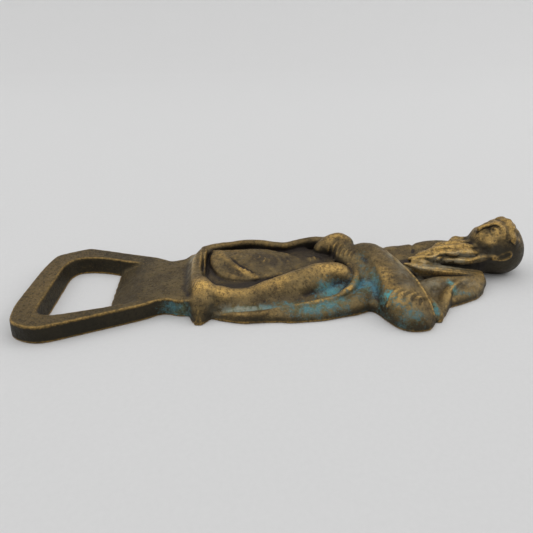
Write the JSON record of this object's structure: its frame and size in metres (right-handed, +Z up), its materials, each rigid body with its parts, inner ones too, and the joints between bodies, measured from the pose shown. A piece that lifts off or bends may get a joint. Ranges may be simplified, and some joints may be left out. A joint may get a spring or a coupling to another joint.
{
  "type": "bottle opener",
  "caption": "Cast brass souvenir bottle opener: a flat hexagonal ring with a sloped prying lip, and a robed, bearded figure lying on its back as the handle.",
  "frame": {"origin": "centre of the casting's box on its flat back, which is the face it rests on", "axes": "+X along the length from the opener ring to the crown of the head, +Z up out of the relief, +Y to the figure's right side"},
  "size_m": [0.15, 0.0458, 0.0176],
  "materials": {
    "olive_brass": "aged olive-brown patina, satin, fine cast grain",
    "rubbed_brass": "high spots rubbed back to warm gold, satin",
    "dark_brass": "dark tarnish in recesses, dull",
    "verdigris_brass": "patina with blue-green verdigris bloom, matt"
  },
  "bodies": {
    "root": {"opener_ring": "olive_brass", "prying_lip": "olive_brass", "neck": "olive_brass", "hem_band": "olive_brass", "lower_robe_back": "dark_brass", "upper_robe_back": "olive_brass", "far_robe_edge": "olive_brass", "lap_panel": "dark_brass", "near_foot": "rubbed_brass", "near_leg": "rubbed_brass", "knee": "rubbed_brass", "robe_fold": "rubbed_brass", "side_drape": "verdigris_brass", "far_hand": "olive_brass", "cuff_gathers": "dark_brass", "forearm_sleeve": "olive_brass", "sleeve_end": "verdigris_brass", "near_hand": "rubbed_brass", "chest_robe": "olive_brass", "near_lapel": "rubbed_brass", "near_shoulder": "olive_brass", "shoulder_cape": "verdigris_brass", "far_shoulder": "olive_brass", "beard": "rubbed_brass", "moustache": "rubbed_brass", "head": "olive_brass", "face": "rubbed_brass", "ears": "rubbed_brass", "hair_band": "rubbed_brass"}
  },
  "joints": []
}
